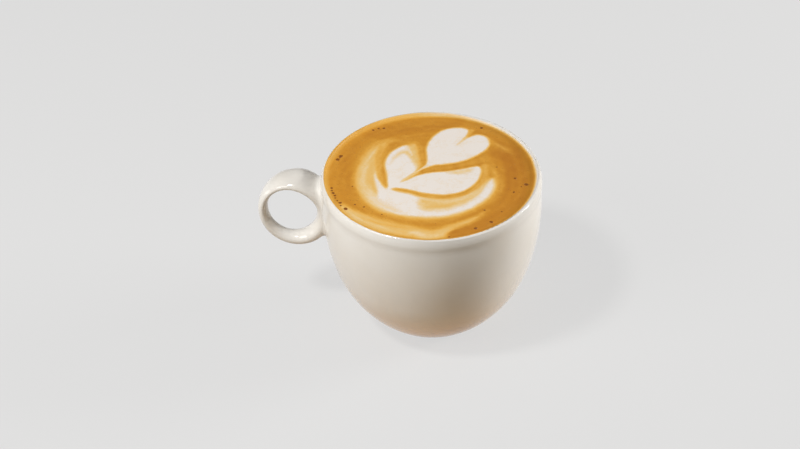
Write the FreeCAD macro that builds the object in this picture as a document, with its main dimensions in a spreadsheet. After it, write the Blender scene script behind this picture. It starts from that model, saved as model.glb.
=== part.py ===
# Flat white in its porcelain cup: a round bowl with a rolled lip, a closed ring handle and a low foot,
# filled with the drink almost to the brim.
# Frame: +Z up, the base plane is Z = 0 and the bowl's axis is the Z axis; the handle points along -X.
import FreeCAD, Part

import math
import os
import Sketcher
from FreeCAD import Placement, Rotation, Vector

# alias, value in mm (or degrees), what it is
SIZES = [
    ("rim_diameter", 84.0, "across the outside of the lip"),
    ("cup_height", 65.0, "from the base plane to the top of the lip"),
    ("lip_round", 0.8, "radius of the lip's rounded edge"),
    ("lip_inset", 1.4, "from the outside of the lip in to its top"),
    ("lip_depth", 3.4, "from the lip's top down to where it is widest"),
    ("neck_fillet", 16.0, "radius of the hollow under the lip, outside"),
    ("belly_inset", 0.05, "how far the widest bowl stays inside the lip, per side"),
    ("belly_depth", 12.0, "from the lip's top down to the widest bowl"),
    ("side_radius", 92.0, "radius of the bowl's upper outside arc"),
    ("side_sweep", 16.0, "degrees of the upper arc below the widest bowl"),
    ("wall", 3.5, "porcelain thickness of the bowl's side"),
    ("floor_thickness", 4.0, "porcelain thickness over the foot's hollow"),
    ("floor_round", 14.0, "inside radius between side and floor"),
    ("flare_depth", 8.0, "from the lip's top down to where the inside starts to flare"),
    ("foot_diameter", 38.4, "outside of the foot ring"),
    ("foot_ledge", 1.2, "step from the foot ring out to the bowl"),
    ("foot_height", 1.0, "from the base plane to that step"),
    ("foot_width", 2.8, "width of the foot ring's running face"),
    ("foot_hollow", 1.6, "depth of the hollow inside the foot ring"),
    ("foot_draft", 0.8, "how far the hollow's side leans in"),
    ("foot_fillet", 0.4, "rounding of the foot ring's edges"),
    ("ring_gap", 10.95, "from the widest bowl out to the handle ring's centre"),
    ("ring_depth", 18.2, "from the lip's top down to the handle ring's centre"),
    ("ring_reach", 12.1, "half width of the ring's centre line, along X"),
    ("ring_rise", 13.8, "half height of the ring's centre line"),
    ("loop_thickness", 3.7, "ring section at the outer side, in the ring's plane"),
    ("loop_width", 7.2, "ring section at the outer side, along Y"),
    ("thumb_thickness", 5.1, "ring section at the top, in the ring's plane"),
    ("thumb_width", 12.4, "ring section at the top, along Y"),
    ("root_thickness", 6.6, "ring section at the bowl, in the ring's plane"),
    ("root_width", 12.2, "ring section at the bowl, along Y"),
    ("heel_thickness", 5.1, "ring section at the bottom, in the ring's plane"),
    ("heel_width", 7.0, "ring section at the bottom, along Y"),
    ("join_fillet", 1.6, "radius where the ring meets the bowl"),
    ("fill_depth", 1.0, "from the lip's top down to the drink"),
    ("meniscus_rise", 0.3, "how far the drink climbs at the wall"),
    ("meniscus_run", 1.6, "how far from the wall the drink starts to climb"),
]
FULL_TURN = 360.0

ORIGIN = (-1, 1)  # the sketch's own origin point
AXIS = -2  # the sketch's vertical axis
START, END, CENTRE = 1, 2, 3

doc = FreeCAD.newDocument("flat_white")


def makeSheet():
    sheet = doc.addObject("Spreadsheet::Sheet", "Sizes")
    for row, (alias, value, note) in enumerate(SIZES, start=1):
        sheet.set(f"A{row}", alias)
        sheet.set(f"B{row}", str(value))
        sheet.setAlias(f"B{row}", alias)
        sheet.set(f"C{row}", note)
    doc.recompute()
    return sheet


sizes = makeSheet()


def size(alias):
    return float(sizes.get(alias))


# ---- sketch helpers ---------------------------------------------------------------------------------

def originPlane(body, role):
    return next(plane for plane in body.Origin.OriginFeatures if plane.Role == role)


def newSketch(body, name, plane="XZ_Plane"):
    sketch = body.newObject("Sketcher::SketchObject", name)
    sketch.AttachmentSupport = [(originPlane(body, plane), "")]
    sketch.MapMode = "FlatFace"
    return sketch


def line(sketch, start, end):
    return sketch.addGeometry(Part.LineSegment(Vector(*start, 0), Vector(*end, 0)))


def arc(sketch, centre, radius, start_angle, end_angle):
    circle = Part.Circle(Vector(*centre, 0), Vector(0, 0, 1), radius)
    return sketch.addGeometry(Part.ArcOfCircle(circle, math.radians(start_angle), math.radians(end_angle)))


def oval(sketch, centre, across, up):
    """An ellipse square to the sketch, from its two half sizes; returns it and its level and upright axes."""
    middle = Vector(*centre, 0)
    ends = [Vector(across, 0, 0), Vector(0, up, 0)]
    longer_first = sorted(ends, key=lambda end: end.Length, reverse=True)
    ellipse = sketch.addGeometry(Part.Ellipse(middle + longer_first[0], middle + longer_first[1], middle))
    sketch.exposeInternalGeometry(ellipse)
    level, upright = (ellipse + 1 + longer_first.index(end) for end in ends)
    sketch.addConstraint(Sketcher.Constraint("Vertical", upright))
    return ellipse, level, upright


def meet(sketch, first, first_end, second, second_end, kind="Coincident"):
    sketch.addConstraint(Sketcher.Constraint(kind, first, first_end, second, second_end))


def drawn(sketch, kind, held):
    """The value that a dimension has in the sketch as it is drawn."""
    if kind == "Radius":
        return sketch.Geometry[held[0]].Radius
    if kind == "Distance":
        return sketch.Geometry[held[0]].length()
    apart = sketch.getPoint(*held[2:]) - sketch.getPoint(*held[:2])
    return apart.x if kind == "DistanceX" else apart.y


def drive(sketch, kind, *rest):
    """Adds a dimension: the geometry it holds, then the expression that gives its value."""
    *held, expression = rest
    index = sketch.addConstraint(Sketcher.Constraint(kind, *held, drawn(sketch, kind, held)))
    sketch.setExpression(f"Constraints[{index}]", expression)


def measure(sketch, name, geometry):
    """Adds a radius that is read and not set, for other sketches to use by name."""
    index = sketch.addConstraint(Sketcher.Constraint("Radius", geometry, sketch.Geometry[geometry].Radius))
    sketch.setDriving(index, False)
    sketch.renameConstraint(index, name)


def holdPoint(sketch, geometry, end, across, up):
    """Places a point by its distances from the axis and from the base plane."""
    drive(sketch, "DistanceX", *ORIGIN, geometry, end, across)
    drive(sketch, "DistanceY", *ORIGIN, geometry, end, up)


def polar(centre, radius, angle):
    turn = math.radians(angle)
    return centre[0] + radius * math.cos(turn), centre[1] + radius * math.sin(turn)


def heading(centre, point):
    return math.degrees(math.atan2(point[1] - centre[1], point[0] - centre[0]))


# ---- the bowl's arcs, worked out from the sizes -----------------------------------------------------

def bowlArcs():
    """Centres and radii of the tangent arcs that make the bowl's outside and inside."""
    height, wall, lip = size("cup_height"), size("wall"), size("lip_round")
    rim = size("rim_diameter") / 2
    belly = rim - size("belly_inset")
    side_radius, sweep = size("side_radius"), size("side_sweep")
    side_centre = (belly - side_radius, height - size("belly_depth"))
    turn = polar(side_centre, side_radius, -sweep)
    foot = (size("foot_diameter") / 2 + size("foot_ledge"), size("foot_height"))
    # the lower arc leaves the upper one tangentially at `turn` and ends at `foot`
    chord = (foot[0] - turn[0], foot[1] - turn[1])
    along = chord[0] * math.cos(math.radians(sweep)) - chord[1] * math.sin(math.radians(sweep))
    lower_radius = -(chord[0] ** 2 + chord[1] ** 2) / (2 * along)
    lower_centre = polar(turn, -lower_radius, -sweep)
    # the lip: a small round at its edge that runs into a long arc down its outside
    inset, drop = size("lip_inset"), size("lip_depth") - lip
    lip_centre = (rim - inset, height - lip)
    face_radius = (inset ** 2 - lip ** 2 + drop ** 2) / (2 * (inset - lip))
    face_centre = (rim - face_radius, height - size("lip_depth"))
    # the hollow under the lip touches both lip and bowl
    hollow = size("neck_fillet")
    reach = math.dist(face_centre, side_centre)
    near, far = face_radius + hollow, side_radius + hollow
    opening = math.degrees(math.acos((near ** 2 + reach ** 2 - far ** 2) / (2 * near * reach)))
    neck_centre = polar(face_centre, near, heading(face_centre, side_centre) + opening)
    # the inside flares from the upright wall out to the lip's rounded edge
    inside = belly - wall
    across, up = lip_centre[0] - inside, size("flare_depth") - lip
    flare_radius = (across ** 2 + up ** 2 - lip ** 2) / (2 * (across - lip))
    flare_centre = (inside + flare_radius, height - size("flare_depth"))
    # the floor's corner arc, tangent to the floor and to the lower inside arc
    floor = size("foot_hollow") + size("floor_thickness")
    corner = size("floor_round")
    corner_up = floor + corner
    inner_lower = lower_radius - wall
    corner_out = lower_centre[0] + math.sqrt((inner_lower - corner) ** 2 - (corner_up - lower_centre[1]) ** 2)
    return {
        "inside": inside, "floor": floor, "foot": foot, "sweep": sweep,
        "lip": (lip_centre, lip), "face": (face_centre, face_radius), "neck": (neck_centre, hollow),
        "side": (side_centre, side_radius), "lower": (lower_centre, lower_radius),
        "flare": (flare_centre, flare_radius),
        "inner_side": (side_centre, side_radius - wall), "inner_lower": (lower_centre, inner_lower),
        "corner": ((corner_out, corner_up), corner),
    }


BELLY = "Sizes.rim_diameter / 2 - Sizes.belly_inset"
BELLY_UP = "Sizes.cup_height - Sizes.belly_depth"
INSIDE = f"{BELLY} - Sizes.wall"
LIP_OUT = "Sizes.rim_diameter / 2 - Sizes.lip_inset"
LIP_FACE = ("(Sizes.lip_inset ^ 2 - Sizes.lip_round ^ 2 + (Sizes.lip_depth - Sizes.lip_round) ^ 2)"
            " / (2 * (Sizes.lip_inset - Sizes.lip_round))")
FLOOR_UP = "Sizes.foot_hollow + Sizes.floor_thickness"


def holdSideCentre(sketch, side):
    """The centre of the bowl's side arcs lies past the axis, level with the widest bowl."""
    drive(sketch, "DistanceX", side, CENTRE, *ORIGIN, f"Sizes.side_radius - ({BELLY})")
    drive(sketch, "DistanceY", *ORIGIN, side, CENTRE, BELLY_UP)


def holdSideTurn(sketch, side, radius):
    """The side arc's lower end, where it runs into the lower arc."""
    drive(sketch, "DistanceY", *ORIGIN, side, START, f"{BELLY_UP} - ({radius}) * sin(Sizes.side_sweep * 1 deg)")


def outsideProfile(body):
    """Everything outside: lip, hollow under it, side, lower bowl, foot ring and the hollow in it."""
    arcs = bowlArcs()
    height, foot = size("cup_height"), arcs["foot"]
    lip_centre, lip = arcs["lip"]
    face_centre, face_radius = arcs["face"]
    neck_centre, hollow = arcs["neck"]
    side_centre, side_radius = arcs["side"]
    lower_centre, lower_radius = arcs["lower"]
    foot_outer = size("foot_diameter") / 2
    foot_inner = foot_outer - size("foot_width")
    hollow_out, hollow_up = foot_inner - size("foot_draft"), size("foot_hollow")

    sketch = newSketch(body, "outside")
    top = line(sketch, (0, height), (lip_centre[0], height))
    lip_arc = arc(sketch, lip_centre, lip, heading(face_centre, lip_centre), 90)
    face_arc = arc(sketch, face_centre, face_radius, heading(face_centre, neck_centre),
                   heading(face_centre, lip_centre))
    neck_arc = arc(sketch, neck_centre, hollow, heading(neck_centre, face_centre),
                   heading(side_centre, neck_centre) + 180)
    side_arc = arc(sketch, side_centre, side_radius, -arcs["sweep"], heading(side_centre, neck_centre))
    lower_arc = arc(sketch, lower_centre, lower_radius, heading(lower_centre, foot), -arcs["sweep"])
    ledge = line(sketch, foot, (foot_outer, foot[1]))
    foot_wall = line(sketch, (foot_outer, foot[1]), (foot_outer, 0))
    foot_face = line(sketch, (foot_outer, 0), (foot_inner, 0))
    hollow_wall = line(sketch, (foot_inner, 0), (hollow_out, hollow_up))
    hollow_top = line(sketch, (hollow_out, hollow_up), (0, hollow_up))
    middle = line(sketch, (0, hollow_up), (0, height))

    meet(sketch, top, END, lip_arc, END, "Tangent")
    meet(sketch, lip_arc, START, face_arc, END, "Tangent")
    meet(sketch, face_arc, START, neck_arc, START, "Tangent")
    meet(sketch, neck_arc, END, side_arc, END, "Tangent")
    meet(sketch, side_arc, START, lower_arc, END, "Tangent")
    corners = [(lower_arc, START), (ledge, START), (ledge, END), (foot_wall, START), (foot_wall, END),
               (foot_face, START), (foot_face, END), (hollow_wall, START), (hollow_wall, END),
               (hollow_top, START), (hollow_top, END), (middle, START), (middle, END), (top, START)]
    for first, second in zip(corners[::2], corners[1::2]):
        meet(sketch, *first, *second)
    for level in (top, ledge, foot_face, hollow_top):
        sketch.addConstraint(Sketcher.Constraint("Horizontal", level))
    sketch.addConstraint(Sketcher.Constraint("Vertical", foot_wall))
    for end in (START, END):
        sketch.addConstraint(Sketcher.Constraint("PointOnObject", middle, end, AXIS))

    holdPoint(sketch, lip_arc, CENTRE, LIP_OUT, "Sizes.cup_height - Sizes.lip_round")
    drive(sketch, "Radius", lip_arc, "Sizes.lip_round")
    drive(sketch, "DistanceY", *ORIGIN, face_arc, CENTRE, "Sizes.cup_height - Sizes.lip_depth")
    drive(sketch, "Radius", face_arc, LIP_FACE)
    drive(sketch, "Radius", neck_arc, "Sizes.neck_fillet")
    drive(sketch, "Radius", side_arc, "Sizes.side_radius")
    holdSideCentre(sketch, side_arc)
    holdSideTurn(sketch, side_arc, "Sizes.side_radius")
    measure(sketch, "lower_radius", lower_arc)
    holdPoint(sketch, lower_arc, START, "Sizes.foot_diameter / 2 + Sizes.foot_ledge", "Sizes.foot_height")
    holdPoint(sketch, foot_wall, END, "Sizes.foot_diameter / 2", "0")
    drive(sketch, "DistanceX", *ORIGIN, foot_face, END, "Sizes.foot_diameter / 2 - Sizes.foot_width")
    holdPoint(sketch, hollow_wall, END, "Sizes.foot_diameter / 2 - Sizes.foot_width - Sizes.foot_draft",
              "Sizes.foot_hollow")
    return sketch


def innerWall(sketch, flare_top):
    """The inside of the bowl from the flare under the lip down to the floor; returns its two ends."""
    arcs = bowlArcs()
    inside, floor = arcs["inside"], arcs["floor"]
    flare_centre, flare_radius = arcs["flare"]
    side_centre, side_radius = arcs["inner_side"]
    lower_centre, lower_radius = arcs["inner_lower"]
    corner_centre, corner = arcs["corner"]

    flare_arc = arc(sketch, flare_centre, flare_radius, heading(flare_centre, flare_top), 180)
    upright = line(sketch, (inside, flare_centre[1]), (inside, side_centre[1]))
    side_arc = arc(sketch, side_centre, side_radius, -arcs["sweep"], 0)
    lower_arc = arc(sketch, lower_centre, lower_radius, heading(lower_centre, corner_centre), -arcs["sweep"])
    corner_arc = arc(sketch, corner_centre, corner, -90, heading(lower_centre, corner_centre))
    floor_line = line(sketch, (corner_centre[0], floor), (0, floor))

    meet(sketch, flare_arc, END, upright, START, "Tangent")
    meet(sketch, upright, END, side_arc, END, "Tangent")
    meet(sketch, side_arc, START, lower_arc, END, "Tangent")
    meet(sketch, lower_arc, START, corner_arc, END, "Tangent")
    meet(sketch, corner_arc, START, floor_line, START, "Tangent")
    sketch.addConstraint(Sketcher.Constraint("Vertical", upright))
    sketch.addConstraint(Sketcher.Constraint("Horizontal", floor_line))
    sketch.addConstraint(Sketcher.Constraint("PointOnObject", floor_line, END, AXIS))
    drive(sketch, "DistanceY", *ORIGIN, flare_arc, CENTRE, "Sizes.cup_height - Sizes.flare_depth")
    drive(sketch, "DistanceX", *ORIGIN, upright, START, INSIDE)
    holdSideCentre(sketch, side_arc)
    holdSideTurn(sketch, side_arc, "Sizes.side_radius - Sizes.wall")
    drive(sketch, "Radius", lower_arc, "outside.Constraints.lower_radius / 1 mm - Sizes.wall")
    drive(sketch, "Radius", corner_arc, "Sizes.floor_round")
    drive(sketch, "DistanceY", *ORIGIN, floor_line, END, FLOOR_UP)
    return flare_arc, floor_line


def cavityProfile(body):
    """What the bowl holds, brim-full, up to the top of the lip."""
    arcs = bowlArcs()
    height = size("cup_height")
    lip_centre, lip = arcs["lip"]
    touch = heading(arcs["flare"][0], lip_centre)

    sketch = newSketch(body, "cavity")
    flare_arc, floor_line = innerWall(sketch, polar(lip_centre, lip, touch))
    lip_arc = arc(sketch, lip_centre, lip, 90, touch)
    top = line(sketch, (lip_centre[0], height), (0, height))
    middle = line(sketch, (0, height), (0, arcs["floor"]))

    meet(sketch, lip_arc, END, flare_arc, START, "Tangent")
    meet(sketch, top, START, lip_arc, START, "Tangent")
    meet(sketch, top, END, middle, START)
    meet(sketch, middle, END, floor_line, END)
    sketch.addConstraint(Sketcher.Constraint("Horizontal", top))
    sketch.addConstraint(Sketcher.Constraint("PointOnObject", middle, START, AXIS))
    holdPoint(sketch, lip_arc, CENTRE, LIP_OUT, "Sizes.cup_height - Sizes.lip_round")
    drive(sketch, "Radius", lip_arc, "Sizes.lip_round")
    measure(sketch, "flare_radius", flare_arc)
    return sketch


def drinkProfile(body):
    """The drink: the bowl's inside up to a level surface that climbs a little at the wall."""
    arcs = bowlArcs()
    level = size("cup_height") - size("fill_depth")
    rise, run = size("meniscus_rise"), size("meniscus_run")
    flare_centre, flare_radius = arcs["flare"]
    edge_up = level + rise
    edge_out = flare_centre[0] - math.sqrt(flare_radius ** 2 - (edge_up - flare_centre[1]) ** 2)
    curl = (run ** 2 + rise ** 2) / (2 * rise)
    curl_centre = (edge_out - run, level + curl)

    sketch = newSketch(body, "filling")
    flare_arc, floor_line = innerWall(sketch, (edge_out, edge_up))
    climb = arc(sketch, curl_centre, curl, -90, heading(curl_centre, (edge_out, edge_up)))
    surface = line(sketch, (edge_out - run, level), (0, level))
    middle = line(sketch, (0, level), (0, arcs["floor"]))

    meet(sketch, climb, END, flare_arc, START)
    meet(sketch, surface, START, climb, START, "Tangent")
    meet(sketch, surface, END, middle, START)
    meet(sketch, middle, END, floor_line, END)
    sketch.addConstraint(Sketcher.Constraint("Horizontal", surface))
    sketch.addConstraint(Sketcher.Constraint("PointOnObject", middle, START, AXIS))
    drive(sketch, "Radius", flare_arc, "cavity.Constraints.flare_radius")
    drive(sketch, "DistanceY", *ORIGIN, surface, END, "Sizes.cup_height - Sizes.fill_depth")
    drive(sketch, "DistanceY", climb, START, climb, END, "Sizes.meniscus_rise")
    drive(sketch, "DistanceX", climb, START, climb, END, "Sizes.meniscus_run")
    return sketch


# ---- the ring handle --------------------------------------------------------------------------------

RING_OUT = f"{BELLY} + Sizes.ring_gap"
RING_UP = "Sizes.cup_height - Sizes.ring_depth"


def ringPath(body):
    """The ring's centre line, an upright ellipse beside the bowl."""
    out = size("rim_diameter") / 2 - size("belly_inset") + size("ring_gap")
    up = size("cup_height") - size("ring_depth")
    sketch = newSketch(body, "ring_path")
    ellipse, level, upright = oval(sketch, (-out, up), size("ring_reach"), size("ring_rise"))
    drive(sketch, "DistanceX", ellipse, CENTRE, *ORIGIN, RING_OUT)
    drive(sketch, "DistanceY", *ORIGIN, ellipse, CENTRE, RING_UP)
    drive(sketch, "Distance", upright, "2 * Sizes.ring_rise")
    drive(sketch, "Distance", level, "2 * Sizes.ring_reach")
    return sketch


def ringSection(body, place, turn, out, up):
    """An ellipse across the ring, turned about Y to stand square to the centre line."""
    sketch = newSketch(body, f"ring_{place}", "XY_Plane")
    sketch.AttachmentOffset = Placement(Vector(0, 0, 0), Rotation(Vector(0, 1, 0), turn))
    sketch.setExpression("AttachmentOffset.Base.x", f"-({RING_OUT} + {out} * Sizes.ring_reach)")
    sketch.setExpression("AttachmentOffset.Base.z", f"{RING_UP} + {up} * Sizes.ring_rise")
    ellipse, level, upright = oval(sketch, (0, 0), size(f"{place}_thickness") / 2, size(f"{place}_width") / 2)
    meet(sketch, ellipse, CENTRE, *ORIGIN)
    drive(sketch, "Distance", upright, f"Sizes.{place}_width")
    drive(sketch, "Distance", level, f"Sizes.{place}_thickness")
    return sketch


def makeRing(body):
    """A closed pipe whose section changes from place to place: slim outside, broad under the thumb."""
    path = ringPath(body)
    sections = [ringSection(body, "loop", 180, 1, 0), ringSection(body, "thumb", 270, 0, 1),
                ringSection(body, "root", 0, -1, 0), ringSection(body, "heel", 90, 0, -1)]
    doc.recompute()
    ring = body.newObject("PartDesign::AdditivePipe", "ring")
    ring.Profile = sections[0]
    ring.Spine = (path, ["Edge1"])
    ring.Transformation = "Multisection"
    ring.Sections = sections[1:]
    doc.recompute()
    return ring


def ringSeams(shape):
    """The edges where the swept ring meets the turned bowl."""
    def swept(face):
        return isinstance(face.Surface, Part.BSplineSurface)
    return [f"Edge{index}" for index, edge in enumerate(shape.Edges, start=1)
            if {swept(face) for face in shape.ancestorsOfType(edge, Part.Face)} == {True, False}]


def footEdges(shape):
    """The circles round the foot ring: its running face's two edges and the two corners above them."""
    top = max(size("foot_height"), size("foot_hollow"))
    outer = size("foot_diameter") / 2
    return [f"Edge{index}" for index, edge in enumerate(shape.Edges, start=1)
            if isinstance(edge.Curve, Part.Circle) and edge.BoundBox.ZMax < top + size("foot_fillet")
            and edge.Curve.Radius < outer + size("foot_ledge") / 2]


# ---- the two pieces ---------------------------------------------------------------------------------

def newBody(name):
    body = doc.addObject("PartDesign::Body", name)
    body.Label = name
    return body


def turned(body, kind, name, sketch):
    """A full turn of the sketch about the bowl's axis, added or taken away."""
    feature = body.newObject(f"PartDesign::{kind}", name)
    feature.Profile = sketch
    feature.ReferenceAxis = (sketch, ["V_Axis"])
    feature.Angle = FULL_TURN
    doc.recompute()
    return feature


def filleted(body, name, base, edges, size_name):
    feature = body.newObject("PartDesign::Fillet", name)
    feature.Base = (base, edges)
    feature.setExpression("Radius", f"Sizes.{size_name}")
    doc.recompute()
    return feature


def makeCup():
    body = newBody("cup")
    bowl = turned(body, "Revolution", "bowl", outsideProfile(body))
    foot = filleted(body, "foot_rounding", bowl, footEdges(bowl.Shape), "foot_fillet")
    ring = makeRing(body)
    join = filleted(body, "ring_join", ring, ringSeams(ring.Shape), "join_fillet")
    hollowed = turned(body, "Groove", "hollow", cavityProfile(body))
    print("edges filleted: foot", len(foot.Base[1]), "ring", len(join.Base[1]))
    if not hollowed.Shape.Volume < join.Shape.Volume:
        raise RuntimeError("the bowl was not hollowed")
    return body


def makeDrink():
    body = newBody("coffee")
    turned(body, "Revolution", "drink", drinkProfile(body))
    return body


def check(pieces):
    for thing in doc.Objects:
        if {"Invalid", "Error"} & set(thing.State):
            raise RuntimeError(f"{thing.Name} failed: {thing.State}")
        if thing.TypeId == "Sketcher::SketchObject" and not thing.FullyConstrained:
            raise RuntimeError(f"{thing.Name} is not fully constrained")
    for piece in pieces:
        shape = piece.Shape
        if shape.isNull() or not shape.isValid() or len(shape.Solids) != 1:
            raise RuntimeError(f"{piece.Label} is not one valid solid")


pieces = [makeCup(), makeDrink()]
doc.recompute()
check(pieces)
os.makedirs("parts", exist_ok=True)
for piece in pieces:
    box = piece.Shape.optimalBoundingBox()
    piece.Shape.exportStep(f"parts/{piece.Label}.step")
    print(f"{piece.Label}: {piece.Shape.Volume / 1000:.2f} cm3, "
          f"X {box.XMin:.2f} to {box.XMax:.2f}, Y {box.YMin:.2f} to {box.YMax:.2f}, "
          f"Z {box.ZMin:.2f} to {box.ZMax:.2f}")
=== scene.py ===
import math

import bpy
import numpy as np
from mathutils import Matrix, Vector


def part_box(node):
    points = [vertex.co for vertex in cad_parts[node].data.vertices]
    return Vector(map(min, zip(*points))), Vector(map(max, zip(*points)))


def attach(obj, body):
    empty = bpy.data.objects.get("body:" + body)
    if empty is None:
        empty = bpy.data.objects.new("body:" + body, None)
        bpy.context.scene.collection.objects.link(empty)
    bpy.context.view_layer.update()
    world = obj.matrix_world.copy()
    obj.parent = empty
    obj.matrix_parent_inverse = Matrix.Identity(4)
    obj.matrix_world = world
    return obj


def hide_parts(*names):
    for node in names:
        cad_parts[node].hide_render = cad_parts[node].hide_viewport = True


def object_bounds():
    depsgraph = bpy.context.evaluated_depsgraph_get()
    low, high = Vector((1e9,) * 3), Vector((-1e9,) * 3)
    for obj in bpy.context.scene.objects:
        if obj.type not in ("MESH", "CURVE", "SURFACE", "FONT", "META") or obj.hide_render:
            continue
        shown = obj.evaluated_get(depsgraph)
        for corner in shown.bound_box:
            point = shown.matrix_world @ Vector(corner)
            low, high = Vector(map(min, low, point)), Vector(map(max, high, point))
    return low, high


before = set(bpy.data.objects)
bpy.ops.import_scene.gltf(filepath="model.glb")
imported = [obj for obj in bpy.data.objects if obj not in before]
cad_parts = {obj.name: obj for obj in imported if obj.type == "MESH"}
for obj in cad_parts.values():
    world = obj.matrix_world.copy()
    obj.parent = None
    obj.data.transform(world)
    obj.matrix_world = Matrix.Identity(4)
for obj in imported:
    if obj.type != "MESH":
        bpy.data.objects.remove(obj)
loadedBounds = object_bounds()
mm = 0.001


def linear(text):  # sRGB hex to a linear colour
    parts = [int(text[i : i + 2], 16) / 255 for i in (0, 2, 4)]
    return [c / 12.92 if c <= 0.04045 else ((c + 0.055) / 1.055) ** 2.4 for c in parts] + [1.0]


def addNode(tree, kind, settings=None, inputs=None):  # an input gets a value, or the socket that it is linked to
    node = tree.nodes.new(kind)
    for key, value in (settings or {}).items():
        if key == "stops":
            stops = node.color_ramp.elements
            while len(stops) < len(value):
                stops.new(0.5)
            for stop, (place, text) in zip(stops, value):
                stop.position = place
                stop.color = linear(text)
        else:
            setattr(node, key, value)
    for key, value in (inputs or {}).items():
        if isinstance(value, bpy.types.NodeSocket):
            tree.links.new(value, node.inputs[key])
        else:
            node.inputs[key].default_value = value
    return node


def newMaterial(name):
    material = bpy.data.materials.new(name)
    material.use_nodes = True
    material.node_tree.nodes.clear()
    return material, material.node_tree


def newObject(name, data):
    made = bpy.data.objects.new(name, data)
    bpy.context.scene.collection.objects.link(made)
    return made


def newPiece(name, mesh, material):  # a smooth-shaded piece on the root, with this material unless its mesh has one; used for the drink and its bubbles, which stand in for the CAD fill
    piece = newObject(name, mesh)
    if not mesh.materials:
        mesh.materials.append(material)
    mesh.polygons.foreach_set("use_smooth", [True] * len(mesh.polygons))
    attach(piece, "root")
    return piece


def giveValues(mesh, **named):  # one number for each point, which a material or a node tree reads by name
    for name, values in named.items():
        mesh.attributes.new(name, "FLOAT", "POINT").data.foreach_set("value", values)


# Glazed porcelain: jiggered body, dipped glaze. Soft white under a thin clear gloss that runs a little uneven, with a
# painted warm reflection towards the foot.
glaze = {
    "white": "e7e6e3",
    "warm": "e3dfd8",
    "warmFrom": (0.35, 0.7),  # where the glaze turns from white to warm, in the slow noise
    "pooling": 26.0,  # mm from one warm patch to the next
    "foot": "e3d3b6",  # painted warm reflection, as of a wooden table below, towards the foot
    "thinCremaAndPaintedReflection": 30.0,  # mm above the foot over which the painted reflection fades out
    "bisque": "ddd2c0",
    "bare": 0.5,  # mm: the foot's running face is wiped clean of glaze
    "bareRough": 0.75,
    "gloss": (0.08, 0.14),  # roughness, from one ripple to the next
    "ripple": 7.0,  # mm
    "rippleDepth": 0.4,  # mm
    "rippleShown": 0.05,
    "refraction": 1.5,
}
porcelain, tree = newMaterial("glazed porcelain, jiggered and dipped")
place = addNode(tree, "ShaderNodeTexCoord").outputs["Object"]
pool = addNode(tree, "ShaderNodeTexNoise", None, {
    "Vector": place, "Scale": 1000 / glaze["pooling"], "Detail": 3.0,
}).outputs["Fac"]
ripple = addNode(tree, "ShaderNodeTexNoise", None, {
    "Vector": place, "Scale": 1000 / glaze["ripple"], "Detail": 2.0,
}).outputs["Fac"]
stops = list(zip(glaze["warmFrom"], (glaze["white"], glaze["warm"])))
tint = addNode(tree, "ShaderNodeValToRGB", {"stops": stops}, {"Fac": pool}).outputs[0]
height = addNode(tree, "ShaderNodeSeparateXYZ", None, {0: place}).outputs["Z"]
# painted warm reflection: the colour goes cream towards the foot, fading out higher up
thinFilmAndFootReflection = addNode(tree, "ShaderNodeMapRange", {"interpolation_type": "SMOOTHSTEP"}, {
    "Value": height, "From Min": 0.0, "From Max": glaze["thinCremaAndPaintedReflection"] * mm, "To Min": 1.0, "To Max": 0.0,
}).outputs[0]
tint = addNode(tree, "ShaderNodeMix", {"data_type": "RGBA"}, {0: thinFilmAndFootReflection, 6: tint, 7: linear(glaze["foot"])}).outputs[2]
bare = addNode(tree, "ShaderNodeMath", {"operation": "LESS_THAN"}, {0: height, 1: glaze["bare"] * mm}).outputs[0]
colour = addNode(tree, "ShaderNodeMix", {"data_type": "RGBA"}, {
    0: bare, 6: tint, 7: linear(glaze["bisque"]),
}).outputs[2]
gloss = addNode(tree, "ShaderNodeMapRange", None, {
    "Value": ripple, "To Min": glaze["gloss"][0], "To Max": glaze["gloss"][1],
}).outputs[0]
rough = addNode(tree, "ShaderNodeMix", None, {0: bare, 2: gloss, 3: glaze["bareRough"]}).outputs[0]
bump = addNode(tree, "ShaderNodeBump", None, {
    "Strength": glaze["rippleShown"], "Distance": glaze["rippleDepth"] * mm, "Height": ripple,
}).outputs[0]
skin = addNode(tree, "ShaderNodeBsdfPrincipled", None, {
    "Base Color": colour, "Roughness": rough, "IOR": glaze["refraction"], "Normal": bump,
}).outputs[0]
addNode(tree, "ShaderNodeOutputMaterial", None, {"Surface": skin})
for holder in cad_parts["cup"].material_slots:
    holder.material = porcelain
print("porcelain done")


def smoothLine(points, closed, steps=8):  # a smooth line through the given points
    p = np.array(points, float)
    if closed:
        around = np.vstack([p[-1:], p, p[:2]])
    else:
        around = np.vstack([2 * p[:1] - p[1:2], p, 2 * p[-1:] - p[-2:-1]])
    t = np.arange(steps)[:, None] / steps
    pieces = []
    for i in range(len(p) if closed else len(p) - 1):
        a, b, c, d = around[i : i + 4]
        curve = (2 * a - 5 * b + 4 * c - d) * t**2 + (3 * b - a - 3 * c + d) * t**3
        pieces.append(0.5 * (2 * b + (c - a) * t + curve))
    return np.vstack(pieces + ([] if closed else [p[-1:]]))


def ease(v):  # 0 to 1, soft at both ends
    v = np.clip(v, 0, 1)
    return v * v * (3 - 2 * v)


def nearest(spots, line, closed):  # distance to the line, and the line's width where it is nearest
    ends = np.roll(line, -1, axis=0) if closed else line[1:]
    starts = line if closed else line[:-1]
    distance = np.full(len(spots), np.inf)
    width = np.zeros(len(spots))
    for a, b in zip(starts, ends):
        along = b[:2] - a[:2]
        t = np.clip(((spots - a[:2]) @ along) / max(along @ along, 1e-9), 0, 1)
        gap = spots - a[:2] - t[:, None] * along
        far = np.hypot(gap[:, 0], gap[:, 1])
        near = far < distance
        distance[near] = far[near]
        if not closed:
            width[near] = (a[2] + t * (b[2] - a[2]))[near]
    return distance, width


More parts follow.
